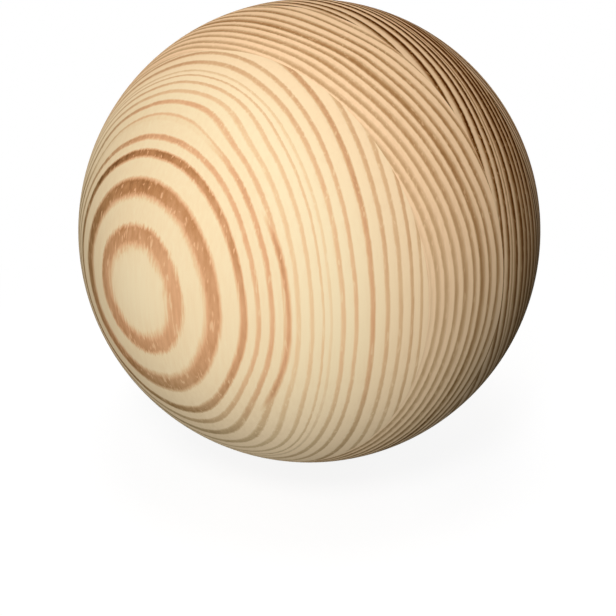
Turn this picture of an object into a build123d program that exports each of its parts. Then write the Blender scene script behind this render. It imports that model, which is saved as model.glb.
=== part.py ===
from build123d import *
import math
import os

# Turned pine ball, made from a blank glued up of boards.
# Millimetres. The origin is the ball's centre: +Y runs through the stack of boards,
# +Z along their grain and +X across their width.

# Driving dimensions
ball_diameter = 140.0
board_thickness = 24.5

# Places of the glue lines in the stack, in board thicknesses from the centre:
# one board straddles the centre, one more lies on each side, and a cap closes each end
glue_line_shares = (-1.5, -0.5, 0.5, 1.5)

# Values worked out from the sizes
ball_radius = ball_diameter / 2
glue_heights = [share * board_thickness for share in glue_line_shares]
glue_heights = [height for height in glue_heights if abs(height) < ball_radius]

# Latitudes at which the outline crosses from one board to the next, between the two poles of the stack
glue_latitudes = [math.degrees(math.asin(height / ball_radius)) for height in glue_heights]
latitudes = [-90.0, *glue_latitudes, 90.0]

# Ball: a half section turned about the stack axis.
# The outline has one arc for each board, so that each glue line stays as an edge on the skin.
with BuildPart() as ball:
    with BuildSketch(Plane.XY):
        with BuildLine():
            for low, high in zip(latitudes, latitudes[1:]):
                CenterArc((0, 0), ball_radius, low, high - low)
            Line((0, ball_radius), (0, -ball_radius))
        make_face()
    revolve(axis=Axis.Y, clean=False)
ball.part.label = "ball"

os.makedirs("parts", exist_ok=True)
export_step(ball.part, "parts/ball.step")
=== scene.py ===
"""Turned pine ball from a blank of glued boards, dressed for the render.

Metres, in the row frame: the origin is the ball's centre, +Y runs through the stack of boards
and +Z along the grain. The wood is a solid texture, worked in millimetres: each board has its own
pith line, and its growth rings are distances from that line.
"""
import math

import bpy
import numpy as np
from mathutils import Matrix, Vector


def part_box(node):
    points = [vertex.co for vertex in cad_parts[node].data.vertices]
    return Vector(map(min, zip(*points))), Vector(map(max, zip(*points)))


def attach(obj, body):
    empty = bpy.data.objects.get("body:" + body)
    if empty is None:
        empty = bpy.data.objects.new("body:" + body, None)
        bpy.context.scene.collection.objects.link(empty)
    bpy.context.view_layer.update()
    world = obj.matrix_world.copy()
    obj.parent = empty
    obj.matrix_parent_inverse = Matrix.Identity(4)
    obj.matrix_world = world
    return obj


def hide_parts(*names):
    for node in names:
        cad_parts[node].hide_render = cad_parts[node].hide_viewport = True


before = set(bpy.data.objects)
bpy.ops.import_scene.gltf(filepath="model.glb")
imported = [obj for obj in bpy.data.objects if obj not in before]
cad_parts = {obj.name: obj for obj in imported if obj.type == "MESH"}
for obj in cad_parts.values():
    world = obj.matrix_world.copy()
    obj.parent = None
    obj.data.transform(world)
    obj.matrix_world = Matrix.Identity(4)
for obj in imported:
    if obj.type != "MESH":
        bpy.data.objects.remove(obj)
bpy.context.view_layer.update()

# Ball and boards
MILLIMETRE = 0.001
ball_low, ball_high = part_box("ball")
RADIUS = (ball_high.y - ball_low.y) / 2
RADIUS_IN_MM = RADIUS / MILLIMETRE
BOARD_THICKNESS = 24.5 * MILLIMETRE
GLUE_LINE_SHARES = (-1.5, -0.5, 0.5, 1.5)

# Pith lines, as shares of the ball's radius: x and y of the line are polynomials of the height in radii,
# the constant term first. Neighbouring boards mostly have their hearts on opposite sides.
PITH_X_SHARES = {
    "near_cap": (-0.33, -0.14, 0.40, -0.10),
    "near_inner": (0.18, -0.32, -0.08, 0.74, 0.20),
    "centre": (-0.28, 0.11, -0.03, -0.02),
    "far_inner": (0.24, 0.10, -0.12, 0.05),
    "far_cap": (0.16, -0.08, 0.15, 0.04),
}
PITH_Y_SHARES = {
    "near_cap": (-3.23, 0.05, -0.09, -0.06, 0.12),
    "near_inner": (3.29, -0.03, 0.03, 0.01, 0.01),
    "centre": (-1.16, -0.18, -0.16, -0.01, -0.01),
    "far_inner": (2.05, 0.06, -0.05, 0.02, 0.0),
    "far_cap": (2.75, -0.05, 0.08, 0.03, -0.05),
}

# Growth rings of the boards in view: inner and outer edge of the latewood, in mm from the pith,
# and its darkness
NEAR_CAP_RINGS = [
    (158.5, 159.8, 0.51),
    (162.15, 164.1, 0.59),
    (166.7, 167.85, 0.60),
    (169.25, 170.05, 0.40),
    (171.5, 172.4, 0.44),
    (173.95, 174.8, 0.34),
    (176.25, 177.1, 0.24),
    (178.85, 179.65, 0.26),
    (181.25, 181.75, 0.25),
    (182.75, 183.35, 0.16),
    (185.1, 186.1, 0.31),
    (188, 188.9, 0.33),
    (191.7, 192.85, 0.44),
    (195.35, 196.4, 0.34),
    (198.55, 199.6, 0.31),
    (201.65, 202.5, 0.42),
    (204.2, 204.95, 0.34),
    (206.75, 207.55, 0.38),
]
NEAR_INNER_RINGS = [
    (235.8, 236.8, 0.46),
    (238.7, 239.5, 0.40),
    (241.4, 242.5, 0.48),
    (244.5, 245.5, 0.52),
    (247.9, 248.75, 0.64),
    (250.95, 252.1, 0.66),
    (254.05, 255.0, 0.62),
    (256.55, 257.9, 0.70),
    (259.2, 260.1, 0.55),
    (261.75, 262.95, 0.52),
    (264.35, 265.25, 0.44),
    (266.75, 267.7, 0.42),
    (268.75, 269.65, 0.38),
    (270.4, 270.9, 0.12),
    (271.4, 272.3, 0.40),
    (274.2, 275.2, 0.46),
    (276.8, 277.7, 0.40),
    (279.8, 280.9, 0.48),
    (282.9, 283.9, 0.44),
]
CENTRE_RINGS = [
    (67.1, 68.4, 0.80),
    (70.6, 71.9, 0.88),
    (73.9, 75, 0.84),
    (77.4, 78.8, 0.92),
    (81.2, 82.5, 0.88),
    (84.4, 85.5, 0.84),
    (87.9, 89.2, 0.92),
    (91.5, 92.7, 0.88),
    (94.7, 95.9, 0.62),
    (97.9, 99.1, 0.60),
    (101.1, 102.3, 0.66),
    (105, 106.4, 0.84),
    (108.4, 109.6, 0.93),
    (111.5, 112.5, 0.98),
    (113.75, 114.7, 0.98),
    (115.35, 115.9, 0.50),
    (116.75, 118, 1.00),
    (119.35, 120.75, 1.00),
    (121.45, 122.7, 0.98),
    (123.45, 124.7, 0.98),
    (125.6, 127.1, 1.00),
    (128, 129.4, 1.00),
    (130.6, 132, 0.98),
    (133.6, 135, 1.00),
]

# Rings of the boards out of view: how far slow waves change their widths, gaps and darkness
BAND_SHARE = 0.38
BAND_WAVE_SHARE = 0.06
DARKNESS_WAVE_SHARE = 0.08
GAP_WAVE_SHARE = 0.12
GAP_SWAY_SHARE = 0.22
SLOW_WAVE_SHARE = 0.6
WAVE_TURN = 1.9
SLOW_WAVE_TURN = 0.83
SLOW_WAVE_START = 1.0
SWAY_TURN = 1.3
SWAY_START = 0.5

# Profile of a ring, as shares of its width and darkness: a slow rise, a quick one, and a sharp end
RISE_SHARES = {"near_cap": 0.22, "near_inner": 0.45, "centre": 0.45, "far_inner": 0.45, "far_cap": 0.30}
FALL_SHARE = 0.18
SLOW_RISE_SHARE = 0.7
SLOW_DARKNESS_SHARE = 0.09
RISEN_DARKNESS_SHARE = 0.92
RINGS_PER_RAMP = 6
RAMP_MARGIN = 0.5

# How strongly the latewood shows against the height in radii, as polynomials, the constant term first
RING_STRENGTHS = {
    "near_cap": (0.98, 0.22, 0.56, -0.45),
    "near_inner": (0.85, -0.17, 0.80, -0.62),
    "centre": (0.78, 0.28, 0.54),
    "far_inner": (0.92, 0.10, 0.40),
    "far_cap": (1.0, 0.15, 0.3),
}

# One ring of the near cap is bold only in the middle of its height, and bows more than its neighbours
BOLD_ARC_EDGES = (174.3, 175.35)
BOLD_ARC_FLANK = 0.45
BOLD_ARC_BOW = 0.0014
BOLD_ARC_REACH = (20.0, 29.0)
BOLD_ARC_DARKNESS = 0.54

# The rings of the near cap are not quite round: its middle rings swing outwards over the apex and at the
# foot, those about the heart lean to one side below, and one ring pales over the apex
APEX_SLOPE_SHARE = 0.25
APEX_REACH_SHARES = (0.42, 0.62)
APEX_RINGS = ((168.5, 175.5), (177.5, 185.0))
APEX_SWING = 1.7
FOOT_REACH = (-20.0, -47.0)
FOOT_RINGS = ((166.0, 177.0), (177.5, 186.0))
FOOT_SWING = 1.6
HEART_REACH = (0.0, -28.0)
HEART_RINGS = (168.0, 182.0)
HEART_LEAN_SHARE = 0.035
PALE_REACH_SHARES = (0.34, 0.50)
PALE_RING = ((170.6, 171.2), (172.0, 172.5))
PALE_SHARE = -0.8

# The near cap's first rings have more ragged edges. The ground outside its heart is warmer,
# and its latewood is darker towards -X and weaker at the glue line.
RAGGED_RINGS = (166.4, 159.4)
RAGGED = 0.55
WARM_RINGS = ((158.0, 160.0), (170.0, 180.0))
WARM_DARKNESS = 0.05
SIDE_REACH_SHARES = (0.25, -0.45)
SIDE_SHARE = 0.33
JOINT_REACH = (-46.0, -38.0)
JOINT_SHARE = -0.14

# At the top the rings of the near inner board first draw in towards the pith and then hook outwards
DRAW_IN_REACH_SHARES = (0.42, 0.78)
DRAW_IN_RINGS = (250.0, 261.0)
DRAW_IN_LOSS_SHARE = 0.55
DRAW_IN = 1.6
HOOK_REACH_SHARES = (0.82, 1.0)
HOOK = 3.6

# Noises: waves per mm across the grain, how much longer they are along it, detail and roughness
WANDER_NOISE = (0.06, 1.4, 2.0, 0.5)
FIBRE_NOISE = (1.7, 14.0, 3.0, 0.6)
PATCH_NOISE = (0.12, 2.5, 2.0, 0.5)
MOTTLE_NOISE = (0.8, 4.0, 2.0, 0.5)
DASH_NOISE = (1.2, 6.0, 1.0, 0.5)
STREAK_NOISE = (0.9, 18.0, 3.0, 0.65)
NOISE_MIDDLE = 0.5

# What the noises do: rings wander and fray in mm, latewood varies by shares, streaks add darkness
WANDER = 0.6
FRAY = 0.4
UNEVEN_SHARE = 0.4
UNEVEN_BASE_SHARE = 0.8
DASH_REACH = (0.60, 0.72)
DASH_SHARE = -0.36
STREAK_DARKNESS = 0.16

# Colours of bare pine by the latewood's darkness, linear: the outer boards, the tighter grown inner ones,
# and the lower end of all the boards, where the latewood is greyer
OUTER_COLOURS = [
    (0.00, (0.875, 0.715, 0.455)),
    (0.18, (0.825, 0.598, 0.345)),
    (0.45, (0.732, 0.404, 0.214)),
    (0.72, (0.480, 0.225, 0.092)),
    (1.00, (0.170, 0.060, 0.018)),
]
INNER_COLOURS = [
    (0.00, (0.940, 0.650, 0.392)),
    (0.25, (0.675, 0.425, 0.224)),
    (0.50, (0.478, 0.258, 0.110)),
    (0.72, (0.315, 0.150, 0.052)),
    (0.88, (0.195, 0.072, 0.014)),
    (1.00, (0.092, 0.023, 0.004)),
]
LOW_COLOURS = [
    (0.00, (0.875, 0.695, 0.455)),
    (0.25, (0.630, 0.475, 0.275)),
    (0.50, (0.440, 0.320, 0.170)),
    (0.72, (0.290, 0.195, 0.085)),
    (1.00, (0.130, 0.075, 0.024)),
]
LOW_REACH = (-5.0, -45.0)
INNER_LOW_REACH = (40.0, -42.0)
INNER_LOW_SHARE = 0.65

# The caps take on some of the inner colours near the glue line, and the near cap is greyer towards -X
BLEND_REACH = (54.0, 37.0)
BLEND_SHARE = 0.55
GREY_REACH_SHARES = (-0.15, -0.65)
GREY_SHARE = 0.85

# Some boards are darker all over: the far inner board partly by painted shade, which darkens the ball's
# right edge as the camera sees it. The lower half beyond the near cap is darker by painted shade
BOARD_TONES_AND_PAINTED_SHADE = {"near_cap": 1.0, "near_inner": 1.0, "centre": 0.95, "far_inner": 0.77, "far_cap": 1.0}
# Painted shade: heights and places through the stack where the lower half darkens, and by how much
PAINTED_SHADE_HEIGHTS = (8.0, -30.0)
PAINTED_SHADE_STACK = (-32.0, -8.0)
PAINTED_SHADE_SHARE = -0.22

# Surface: matt, with the latewood and the fibre a trace proud
ROUGHNESS = 0.80
SPECULAR = 0.0
BUMP_STRENGTH = 0.35
BUMP_DEPTH = 0.06 * MILLIMETRE
BUMP_FIBRE_SHARE = 0.4

# Mesh: quads along each of the cube's sides, and the margin about each side in its map
QUADS_PER_SIDE = 64
MAP_COLUMNS = 3
MAP_ROWS = 2
MAP_MARGIN_SHARE = 0.01
MERGE_DIGITS = 6

# Floor: its grey in the light, what is added to that for the viewer, its glow, and in radii where it turns
# white and where it ends
FLOOR_GREY = 0.04
FLOOR_SEEN_GREY = 0.16
FLOOR_GLOW = 0.88
FLOOR_WHITE_SHARES = (1.0, 3.2)
FLOOR_END_SHARE = 60

# Lamps: azimuth and elevation in degrees, distance and width in metres, power in watts
LAMPS = {
    "key": (20.0, 45.0, 0.55, 0.16, 1.0),
    "top": (20.0, 88.0, 0.6, 0.3, 1.1),
    "front": (20.0, -3.0, 0.55, 0.08, 1.56),
    "back right": (185.0, 3.0, 0.8, 0.4, 3.8),
    "back left": (250.0, 3.0, 0.8, 0.4, 2.2),
}
ROOM_LIGHT = 0.14
WHITE = (1.0, 1.0, 1.0, 1.0)

# Camera: the photograph's direction, distance in radii, and where the ball lies in the square picture
CAMERA_AZIMUTH = 33.4
CAMERA_ELEVATION = 18.15
CAMERA_DISTANCE_SHARE = 4.0
PICTURE_SIZE = 616
BALL_CENTRE_PIXEL = (309.35, 230.6)
BALL_RADIUS_PIXELS = 231.95
SENSOR = 36.0


def grown_rings(first, last, gap, darkness):
    """Rings of a board that is out of view: uneven gaps and darkness that follow slow waves."""
    rings = []
    distance = first
    number = 0
    while distance < last:
        wave = math.sin(WAVE_TURN * number)
        wave += SLOW_WAVE_SHARE * math.sin(SLOW_WAVE_TURN * number + SLOW_WAVE_START)
        band = gap * (BAND_SHARE + BAND_WAVE_SHARE * wave)
        rings.append((distance - band, distance, darkness * (1.0 + DARKNESS_WAVE_SHARE * wave)))
        sway = math.sin(SWAY_TURN * number + SWAY_START)
        distance += gap * (1.0 + GAP_SWAY_SHARE * sway + GAP_WAVE_SHARE * wave)
        number += 1
    return rings


RINGS = {
    "near_cap": NEAR_CAP_RINGS,
    "near_inner": NEAR_INNER_RINGS,
    "centre": CENTRE_RINGS,
    "far_inner": grown_rings(first=96.0, last=176.0, gap=2.5, darkness=0.95),
    "far_cap": grown_rings(first=118.0, last=178.0, gap=3.4, darkness=0.45),
}


class Graph:
    """Small helper that adds nodes to a material or the world and links them by value."""

    def __init__(self, holder):
        holder.use_nodes = True
        self.tree = holder.node_tree
        self.tree.nodes.clear()

    def node(self, kind, **settings):
        made = self.tree.nodes.new(kind)
        for key, value in settings.items():
            setattr(made, key, value)
        return made

    def feed(self, socket, value):
        """Links a socket, or sets the number on it."""
        if isinstance(value, bpy.types.NodeSocket):
            self.tree.links.new(value, socket)
        else:
            socket.default_value = value

    def math(self, operation, *values, clamp=False):
        made = self.node("ShaderNodeMath", operation=operation, use_clamp=clamp)
        for socket, value in zip(made.inputs, values):
            self.feed(socket, value)
        return made.outputs[0]

    def vary(self, value, factor, share, base=1.0):
        """The value times a base plus a share of the factor."""
        return self.math("MULTIPLY", value, self.math("MULTIPLY_ADD", factor, share, base))

    def mix(self, factor, low, high):
        """Number between low and high."""
        return self.math("MULTIPLY_ADD", factor, self.math("SUBTRACT", high, low), low)

    def ramp(self, factor, stops):
        """Colour by a number, from stops of place and colour."""
        made = self.node("ShaderNodeValToRGB")
        elements = made.color_ramp.elements
        elements[0].position = stops[0][0]
        elements[0].color = (*stops[0][1], 1.0)
        elements[1].position = stops[-1][0]
        elements[1].color = (*stops[-1][1], 1.0)
        for place, colour in stops[1:-1]:
            elements.new(place).color = (*colour, 1.0)
        self.feed(made.inputs[0], factor)
        return made.outputs[0]

    def mix_colour(self, factor, low, high):
        """Colour between low and high: the node's colours are inputs 6 and 7 and output 2."""
        made = self.node("ShaderNodeMix", data_type="RGBA")
        self.feed(made.inputs[0], factor)
        self.feed(made.inputs[6], low)
        self.feed(made.inputs[7], high)
        return made.outputs[2]

    def span(self, value, low, high, smooth=True):
        """0 at low, 1 at high, held outside."""
        made = self.node("ShaderNodeMapRange", clamp=True)
        made.interpolation_type = "SMOOTHSTEP" if smooth else "LINEAR"
        self.feed(made.inputs["Value"], value)
        made.inputs["From Min"].default_value = low
        made.inputs["From Max"].default_value = high
        return made.outputs["Result"]

    def band(self, value, rise, fall):
        """1 between a rise and a fall, each given by its two ends."""
        return self.math("SUBTRACT", self.span(value, *rise), self.span(value, *fall))

    def combine(self, x, y, z):
        made = self.node("ShaderNodeCombineXYZ")
        for socket, value in zip(made.inputs, (x, y, z)):
            self.feed(socket, value)
        return made.outputs[0]

    def noise(self, vector, scale, stretch, detail, roughness):
        """Noise of so many waves per mm across the grain, drawn out along it."""
        mapping = self.node("ShaderNodeMapping", vector_type="POINT")
        self.feed(mapping.inputs["Vector"], vector)
        mapping.inputs["Scale"].default_value = (scale, scale, scale / stretch)
        made = self.node("ShaderNodeTexNoise", noise_dimensions="3D")
        self.feed(made.inputs["Vector"], mapping.outputs[0])
        made.inputs["Scale"].default_value = 1.0
        made.inputs["Detail"].default_value = detail
        made.inputs["Roughness"].default_value = roughness
        return made.outputs[0]


def in_radii(shares):
    """Millimetres from shares of the radius."""
    return [share * RADIUS_IN_MM for share in shares]


def ring_stops(rings, rise_share):
    """Stops of a ramp: each ring darkens slowly at first, then quickly, and ends sharply."""
    stops = []
    free = -math.inf
    for inner, outer, darkness in rings:
        band = outer - inner
        rise = rise_share * band
        fall = FALL_SHARE * band
        slow = max(inner - rise - SLOW_RISE_SHARE * band, free)
        free = outer + fall
        stops.append((slow, 0.0))
        stops.append((max(inner - rise, slow), SLOW_DARKNESS_SHARE * darkness))
        stops.append((inner + rise, RISEN_DARKNESS_SHARE * darkness))
        stops.append((outer - fall, darkness))
        stops.append((free, 0.0))
    return stops


def ring_darkness(graph, distance, rings, rise_share):
    """Latewood darkness at a distance from the pith, from as many ramps as the rings need."""
    total = 0.0
    for first in range(0, len(rings), RINGS_PER_RAMP):
        group = ring_stops(rings[first : first + RINGS_PER_RAMP], rise_share)
        low = group[0][0] - RAMP_MARGIN
        high = group[-1][0] + RAMP_MARGIN
        stops = [(0.0, (0.0, 0.0, 0.0))]
        for place, darkness in group:
            stops.append(((place - low) / (high - low), (darkness, darkness, darkness)))
        stops.append((1.0, (0.0, 0.0, 0.0)))
        ramp = graph.ramp(graph.span(distance, low, high, smooth=False), stops)
        total = graph.math("MAXIMUM", total, ramp)
    return total


def polynomial(graph, value, shares):
    """Horner's rule: the constant term comes first."""
    result = shares[-1]
    for share in reversed(shares[:-1]):
        result = graph.math("MULTIPLY_ADD", result, value, share)
    return result


def swung(graph, distance, across, over, z):
    """Distance from the pith in the near cap, whose rings are not quite round."""
    apex = graph.span(over, *in_radii(APEX_REACH_SHARES))
    apex = graph.math("MULTIPLY", apex, graph.band(distance, *APEX_RINGS))
    foot = graph.math("MULTIPLY", graph.span(z, *FOOT_REACH), graph.band(distance, *FOOT_RINGS))
    lean = graph.math("MULTIPLY", across, graph.span(z, *HEART_REACH))
    lean = graph.math("MULTIPLY", lean, graph.math("SUBTRACT", 1.0, graph.span(distance, *HEART_RINGS)))
    distance = graph.math("MULTIPLY_ADD", apex, -APEX_SWING, distance)
    distance = graph.math("MULTIPLY_ADD", foot, -FOOT_SWING, distance)
    return graph.math("MULTIPLY_ADD", lean, HEART_LEAN_SHARE, distance)


def hooked(graph, distance, height):
    """Distance from the pith in the near inner board, whose rings draw in and then hook at the top."""
    lost = graph.math("MULTIPLY", graph.span(distance, *DRAW_IN_RINGS), DRAW_IN_LOSS_SHARE)
    drawn = graph.span(height, *DRAW_IN_REACH_SHARES)
    drawn = graph.math("MULTIPLY", drawn, graph.math("SUBTRACT", 1.0, lost))
    hook = graph.span(height, *HOOK_REACH_SHARES)
    distance = graph.math("MULTIPLY_ADD", drawn, DRAW_IN, distance)
    return graph.math("MULTIPLY_ADD", hook, -HOOK, distance)


def bold_arc(graph, distance, z):
    """The bold stretch of one ring of the near cap."""
    bowed = graph.math("MULTIPLY_ADD", graph.math("MULTIPLY", z, z), BOLD_ARC_BOW, distance)
    inner, outer = BOLD_ARC_EDGES
    rise = graph.span(bowed, inner - BOLD_ARC_FLANK, inner + BOLD_ARC_FLANK)
    fall = graph.span(bowed, outer - BOLD_ARC_FLANK, outer + BOLD_ARC_FLANK)
    reach = graph.span(graph.math("ABSOLUTE", z), *BOLD_ARC_REACH)
    ring = graph.math("SUBTRACT", rise, fall)
    ring = graph.math("MULTIPLY", ring, graph.math("SUBTRACT", 1.0, reach))
    return graph.math("MULTIPLY", ring, BOLD_ARC_DARKNESS)


def near_cap_darkness(graph, darkness, distance, over, x, y, z):
    """The near cap's latewood with its bold arc, pale ring, warm ground and uneven strength."""
    darkness = graph.math("MAXIMUM", darkness, bold_arc(graph, distance, z))
    pale = graph.span(over, *in_radii(PALE_REACH_SHARES))
    pale = graph.math("MULTIPLY", pale, graph.band(distance, *PALE_RING))
    darkness = graph.vary(darkness, pale, PALE_SHARE)
    warm = graph.band(distance, *WARM_RINGS)
    darkness = graph.math("MAXIMUM", darkness, graph.math("MULTIPLY", warm, WARM_DARKNESS))
    side = graph.span(x, *in_radii(SIDE_REACH_SHARES))
    darkness = graph.vary(darkness, side, SIDE_SHARE)
    joint = graph.span(y, *JOINT_REACH)
    return graph.vary(darkness, joint, JOINT_SHARE)


def pine():
    """Bare sanded pine of the five boards."""
    material = bpy.data.materials.new("pine")
    graph = Graph(material)
    place = graph.node("ShaderNodeTexCoord")
    in_mm = graph.node("ShaderNodeVectorMath", operation="SCALE")
    graph.feed(in_mm.inputs[0], place.outputs["Object"])
    in_mm.inputs["Scale"].default_value = 1 / MILLIMETRE
    grain = in_mm.outputs[0]
    split = graph.node("ShaderNodeSeparateXYZ")
    graph.feed(split.inputs[0], grain)
    x, y, z = split.outputs
    height = graph.math("DIVIDE", z, RADIUS_IN_MM)

    # Rings wander a little and have fibrous edges
    slow = graph.math("SUBTRACT", graph.noise(grain, *WANDER_NOISE), NOISE_MIDDLE)
    fibre = graph.math("SUBTRACT", graph.noise(grain, *FIBRE_NOISE), NOISE_MIDDLE)
    wander = graph.math("MULTIPLY_ADD", slow, WANDER, graph.math("MULTIPLY", fibre, FRAY))

    # Darkness and shade of each board, taken in turn through the stack
    darkness = None
    shade = None
    beyond = []
    for number, board in enumerate(RINGS):
        pith_x = graph.math("MULTIPLY", polynomial(graph, height, PITH_X_SHARES[board]), RADIUS_IN_MM)
        pith_y = graph.math("MULTIPLY", polynomial(graph, height, PITH_Y_SHARES[board]), RADIUS_IN_MM)
        across = graph.math("SUBTRACT", x, pith_x)
        through = graph.math("SUBTRACT", y, pith_y)
        length = graph.node("ShaderNodeVectorMath", operation="LENGTH")
        graph.feed(length.inputs[0], graph.combine(across, through, 0.0))
        distance = graph.math("ADD", length.outputs["Value"], wander)
        if board == "near_cap":
            over = graph.math("MULTIPLY_ADD", across, -APEX_SLOPE_SHARE, z)
            distance = swung(graph, distance, across, over, z)
            ragged = graph.math("MULTIPLY", fibre, graph.span(distance, *RAGGED_RINGS))
            distance = graph.math("MULTIPLY_ADD", ragged, RAGGED, distance)
        if board == "near_inner":
            distance = hooked(graph, distance, height)
        of_board = ring_darkness(graph, distance, RINGS[board], RISE_SHARES[board])
        if board == "near_cap":
            of_board = near_cap_darkness(graph, of_board, distance, over, x, y, z)
        of_board = graph.math("MULTIPLY", of_board, polynomial(graph, height, RING_STRENGTHS[board]))
        if number == 0:
            darkness = of_board
            shade = BOARD_TONES_AND_PAINTED_SHADE[board]
        else:
            glue = GLUE_LINE_SHARES[number - 1] * BOARD_THICKNESS / MILLIMETRE
            beyond.append(graph.math("GREATER_THAN", y, glue))
            darkness = graph.mix(beyond[-1], darkness, of_board)
            shade = graph.mix(beyond[-1], shade, BOARD_TONES_AND_PAINTED_SHADE[board])

    # Latewood varies along each ring and has short pale fibres in it, and long streaks run through the wood
    patch = graph.noise(grain, *PATCH_NOISE)
    darkness = graph.vary(darkness, patch, UNEVEN_SHARE, UNEVEN_BASE_SHARE)
    mottle = graph.noise(grain, *MOTTLE_NOISE)
    darkness = graph.vary(darkness, mottle, UNEVEN_SHARE, UNEVEN_BASE_SHARE)
    dashes = graph.span(graph.noise(grain, *DASH_NOISE), *DASH_REACH)
    darkness = graph.vary(darkness, dashes, DASH_SHARE)
    streaks = graph.math("SUBTRACT", graph.noise(grain, *STREAK_NOISE), NOISE_MIDDLE)
    darkness = graph.math("MULTIPLY_ADD", streaks, STREAK_DARKNESS, darkness, clamp=True)

    # The outer and the inner boards have their own colours
    inside = graph.math("SUBTRACT", beyond[0], beyond[-1])
    blend = graph.span(graph.math("ABSOLUTE", y), *BLEND_REACH)
    inside = graph.math("MAXIMUM", inside, graph.math("MULTIPLY", blend, BLEND_SHARE))
    outer_colour = graph.ramp(darkness, OUTER_COLOURS)
    colour = graph.mix_colour(inside, outer_colour, graph.ramp(darkness, INNER_COLOURS))

    # The lower end and one side of the near cap are greyer
    greyer = graph.math("MULTIPLY", graph.span(x, *in_radii(GREY_REACH_SHARES)), GREY_SHARE)
    greyer = graph.math("MULTIPLY", greyer, graph.math("SUBTRACT", 1.0, beyond[0]))
    greyer = graph.math("MULTIPLY", greyer, graph.math("SUBTRACT", 1.0, blend))
    inner_low = graph.math("MULTIPLY", graph.span(z, *INNER_LOW_REACH), INNER_LOW_SHARE)
    greyer = graph.math("MAXIMUM", greyer, graph.mix(inside, graph.span(z, *LOW_REACH), inner_low))
    colour = graph.mix_colour(greyer, colour, graph.ramp(darkness, LOW_COLOURS))
    # Painted shade: the lower half darkens from the near inner board on through the stack
    dim = graph.math("MULTIPLY", graph.span(z, *PAINTED_SHADE_HEIGHTS), graph.span(y, *PAINTED_SHADE_STACK))
    shade = graph.vary(shade, dim, PAINTED_SHADE_SHARE)
    shaded = graph.node("ShaderNodeVectorMath", operation="SCALE")
    graph.feed(shaded.inputs[0], colour)
    graph.feed(shaded.inputs["Scale"], shade)

    # Latewood stands a trace proud of the softer wood, with fine fibre on top
    bump = graph.node("ShaderNodeBump")
    bump.inputs["Strength"].default_value = BUMP_STRENGTH
    bump.inputs["Distance"].default_value = BUMP_DEPTH
    graph.feed(bump.inputs["Height"], graph.math("MULTIPLY_ADD", fibre, BUMP_FIBRE_SHARE, darkness))

    shader = graph.node("ShaderNodeBsdfPrincipled")
    graph.feed(shader.inputs["Base Color"], shaded.outputs[0])
    shader.inputs["Roughness"].default_value = ROUGHNESS
    shader.inputs["Specular IOR Level"].default_value = SPECULAR
    graph.feed(shader.inputs["Normal"], bump.outputs[0])
    output = graph.node("ShaderNodeOutputMaterial")
    graph.feed(output.inputs["Surface"], shader.outputs[0])
    return material


def turned_ball():
    """Closed ball of even quads: a cube's six faces, divided by equal angles and set on the sphere."""
    turn = np.tan(np.linspace(-math.pi / 4, math.pi / 4, QUADS_PER_SIDE + 1))
    across, along = np.meshgrid(turn, turn, indexing="ij")
    ones = np.ones_like(across)
    sides = [
        (ones, across, along),
        (-ones, -across, along),
        (-across, ones, along),
        (across, -ones, along),
        (-along, across, ones),
        (along, across, -ones),
    ]
    map_step = (1 - 2 * MAP_MARGIN_SHARE) / QUADS_PER_SIDE
    numbers = {}
    points = []
    faces = []
    corners = []
    for side, axes in enumerate(sides):
        grid = np.stack(axes, axis=-1)
        grid *= RADIUS / np.linalg.norm(grid, axis=-1, keepdims=True)
        index = np.empty(across.shape, int)
        for place in np.ndindex(across.shape):
            key = tuple(np.round(grid[place] / RADIUS, MERGE_DIGITS) + 0.0)
            if key not in numbers:
                numbers[key] = len(points)
                points.append(tuple(grid[place]))
            index[place] = numbers[key]
        left = side % MAP_COLUMNS + MAP_MARGIN_SHARE
        low = side // MAP_COLUMNS + MAP_MARGIN_SHARE
        for i, j in np.ndindex(QUADS_PER_SIDE, QUADS_PER_SIDE):
            ring = ((i, j), (i + 1, j), (i + 1, j + 1), (i, j + 1))
            faces.append([int(index[place]) for place in ring])
            for a, b in ring:
                corners.append(((left + map_step * a) / MAP_COLUMNS, (low + map_step * b) / MAP_ROWS))
    mesh = bpy.data.meshes.new("turned_ball")
    mesh.from_pydata(points, [], faces)
    layer = mesh.uv_layers.new(name="OFBake")
    layer.uv.foreach_set("vector", np.array(corners, np.float32).ravel())
    mesh.polygons.foreach_set("use_smooth", np.ones(len(faces), bool))
    mesh.validate()
    mesh.update()
    ball = bpy.data.objects.new("turned_ball", mesh)
    bpy.context.collection.objects.link(ball)
    ball.data.materials.append(pine())
    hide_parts("ball")
    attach(ball, "root")


def backdrop_white(graph):
    """1 for rays that look straight, by reflection or through glass."""
    path = graph.node("ShaderNodeLightPath")
    seen = graph.math("MAXIMUM", path.outputs["Is Camera Ray"], path.outputs["Is Glossy Ray"])
    return graph.math("MAXIMUM", seen, path.outputs["Is Transmission Ray"])


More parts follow.
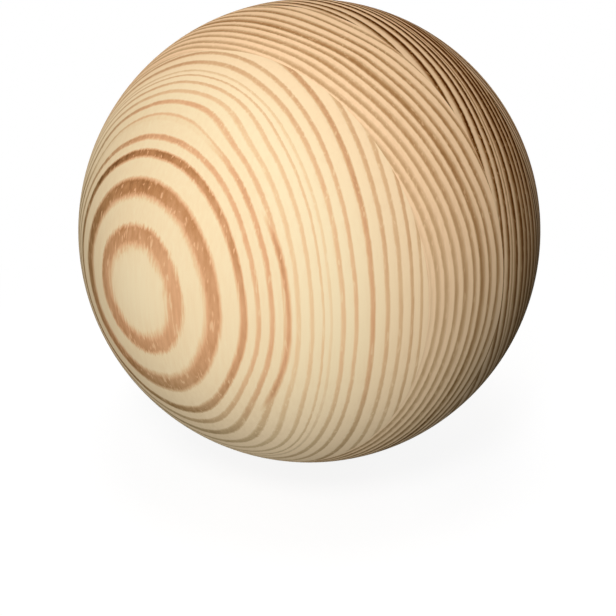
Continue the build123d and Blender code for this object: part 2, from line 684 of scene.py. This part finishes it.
def floor():
    """Floor under the ball, dark to the light and pale to the viewer. It keeps the shadow."""
    material = bpy.data.materials.new("floor")
    graph = Graph(material)
    place = graph.node("ShaderNodeTexCoord")
    length = graph.node("ShaderNodeVectorMath", operation="LENGTH")
    graph.feed(length.inputs[0], place.outputs["Object"])
    out = graph.span(length.outputs["Value"], *(share * RADIUS for share in FLOOR_WHITE_SHARES))
    seen = backdrop_white(graph)
    matt = graph.node("ShaderNodeBsdfDiffuse")
    graph.feed(matt.inputs["Color"], graph.math("MULTIPLY_ADD", seen, FLOOR_SEEN_GREY, FLOOR_GREY))
    glow = graph.node("ShaderNodeEmission")
    graph.feed(glow.inputs["Strength"], graph.math("MULTIPLY", seen, FLOOR_GLOW))
    near = graph.node("ShaderNodeAddShader")
    graph.feed(near.inputs[0], matt.outputs[0])
    graph.feed(near.inputs[1], glow.outputs[0])
    white = graph.node("ShaderNodeEmission")
    white.inputs["Color"].default_value = WHITE
    white.inputs["Strength"].default_value = 1.0
    both = graph.node("ShaderNodeMixShader")
    graph.feed(both.inputs[0], graph.math("MULTIPLY", out, seen))
    graph.feed(both.inputs[1], near.outputs[0])
    graph.feed(both.inputs[2], white.outputs[0])
    output = graph.node("ShaderNodeOutputMaterial")
    graph.feed(output.inputs["Surface"], both.outputs[0])
    end = FLOOR_END_SHARE * RADIUS
    mesh = bpy.data.meshes.new("floor")
    mesh.from_pydata([(-end, -end, 0), (end, -end, 0), (end, end, 0), (-end, end, 0)], [], [(0, 1, 2, 3)])
    made = bpy.data.objects.new("floor", mesh)
    made.location = (0.0, 0.0, -RADIUS)
    bpy.context.collection.objects.link(made)
    made.data.materials.append(material)


def direction(azimuth, elevation):
    """Unit vector from the ball towards a viewer: azimuth 0 looks along +Y."""
    turn, rise = math.radians(azimuth), math.radians(elevation)
    return Vector((math.sin(turn) * math.cos(rise), -math.cos(turn) * math.cos(rise), math.sin(rise)))


def camera():
    """Camera aimed below the ball, so that the ball lies in the upper part of the square picture."""
    half_angle = math.asin(1 / CAMERA_DISTANCE_SHARE)
    drop = (PICTURE_SIZE / 2 - BALL_CENTRE_PIXEL[1]) / BALL_RADIUS_PIXELS
    # (tan(a+d) - tan(a-d)) / (tan(a+d) + tan(a-d)) = sin 2d / sin 2a
    tilt = math.asin(drop * math.sin(2 * half_angle)) / 2
    focal = 2 * BALL_RADIUS_PIXELS / (math.tan(half_angle + tilt) + math.tan(half_angle - tilt))
    turn = math.atan((BALL_CENTRE_PIXEL[0] - PICTURE_SIZE / 2) / focal)
    data = bpy.data.cameras.new("camera")
    data.sensor_width = SENSOR
    data.lens = focal * SENSOR / PICTURE_SIZE
    made = bpy.data.objects.new("camera", data)
    made.location = direction(CAMERA_AZIMUTH, CAMERA_ELEVATION) * CAMERA_DISTANCE_SHARE * RADIUS
    aim = direction(CAMERA_AZIMUTH + math.degrees(turn), CAMERA_ELEVATION + math.degrees(tilt))
    made.rotation_euler = (-aim).to_track_quat("-Z", "Y").to_euler()
    bpy.context.collection.objects.link(made)
    bpy.context.scene.camera = made


def area_light(name, azimuth, elevation, distance, size, power):
    """Round lamp aimed at the ball's centre, unseen by the camera."""
    data = bpy.data.lights.new(name, "AREA")
    data.shape = "DISK"
    data.size = size
    data.energy = power
    made = bpy.data.objects.new(name, data)
    made.location = direction(azimuth, elevation) * distance
    made.rotation_euler = (-made.location).to_track_quat("-Z", "Y").to_euler()
    made.visible_camera = False
    bpy.context.collection.objects.link(made)


def studio_light():
    """Key and front lamps left of the camera, a top lamp, two low ones behind, and a dim room."""
    for name, values in LAMPS.items():
        area_light(name, *values)
    world = bpy.data.worlds.new("room")
    bpy.context.scene.world = world
    graph = Graph(world)
    room = graph.node("ShaderNodeBackground")
    room.inputs["Color"].default_value = WHITE
    room.inputs["Strength"].default_value = ROOM_LIGHT
    white = graph.node("ShaderNodeBackground")
    white.inputs["Color"].default_value = WHITE
    white.inputs["Strength"].default_value = 1.0
    both = graph.node("ShaderNodeMixShader")
    graph.feed(both.inputs[0], backdrop_white(graph))
    graph.feed(both.inputs[1], room.outputs[0])
    graph.feed(both.inputs[2], white.outputs[0])
    output = graph.node("ShaderNodeOutputWorld")
    graph.feed(output.inputs["Surface"], both.outputs[0])


turned_ball()
floor()
studio_light()
camera()
bpy.context.scene.view_settings.view_transform = "Standard"
